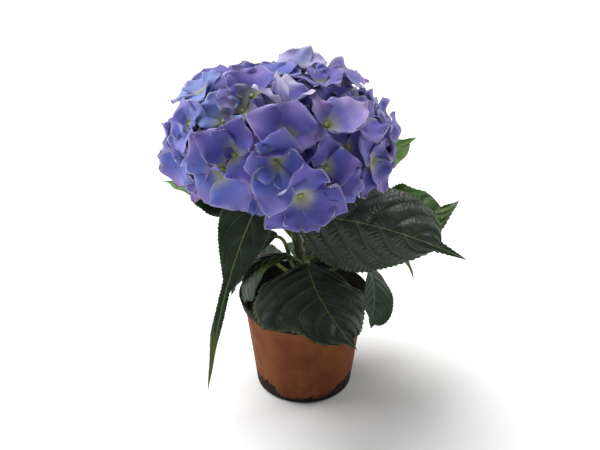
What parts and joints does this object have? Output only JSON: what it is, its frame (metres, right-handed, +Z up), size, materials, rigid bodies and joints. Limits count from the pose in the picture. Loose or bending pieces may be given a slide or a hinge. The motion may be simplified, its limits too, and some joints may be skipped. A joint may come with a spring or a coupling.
{
  "type": "potted mophead hydrangea",
  "caption": "Potted mophead hydrangea: a domed blue flower head on a leaning stem with large drooping toothed leaves, in a tapered plastic nursery pot.",
  "frame": {"origin": "centre of the flat underside of the pot, where the plant stands", "axes": "+Z up along the pot's axis, -Y towards the front of the plant as pictured, +X to its right"},
  "size_m": [0.2763, 0.2364, 0.3187],
  "materials": {
    "pot_plastic": "thin matt terracotta-coloured plastic with dried soil splashes near the foot",
    "soil": "dark moist potting compost",
    "stem": "green young stem with purple-brown flecks and swollen nodes",
    "leaf_dark": "dark green, slightly glossy, with pale sunk veins",
    "leaf_light": "young leaf, bright yellow-green",
    "petal": "soft blue-violet sepals, paler at the rim and yellow-green at the eye"
  },
  "bodies": {
    "root": {"pot": "pot_plastic", "soil": "soil", "main_stem": "stem", "leaf_right_large": "leaf_dark", "leaf_right_behind": "leaf_light", "leaf_right_under": "leaf_dark", "leaf_right_hanging": "leaf_dark", "leaf_front": "leaf_dark", "leaf_left_arching": "leaf_dark", "leaf_left_inner": "leaf_dark", "leaf_left_middle": "leaf_dark", "leaf_left_long": "leaf_dark", "leaf_left_upper": "leaf_light", "leaf_right_upper": "leaf_light", "leaf_back": "leaf_dark", "leaf_back_left": "leaf_dark", "leaf_back_right": "leaf_dark", "bloom_crown": "petal", "bloom_front": "petal", "bloom_front_right": "petal", "bloom_back_right": "petal", "bloom_back": "petal", "bloom_back_left": "petal", "bloom_front_left": "petal"}
  },
  "joints": []
}
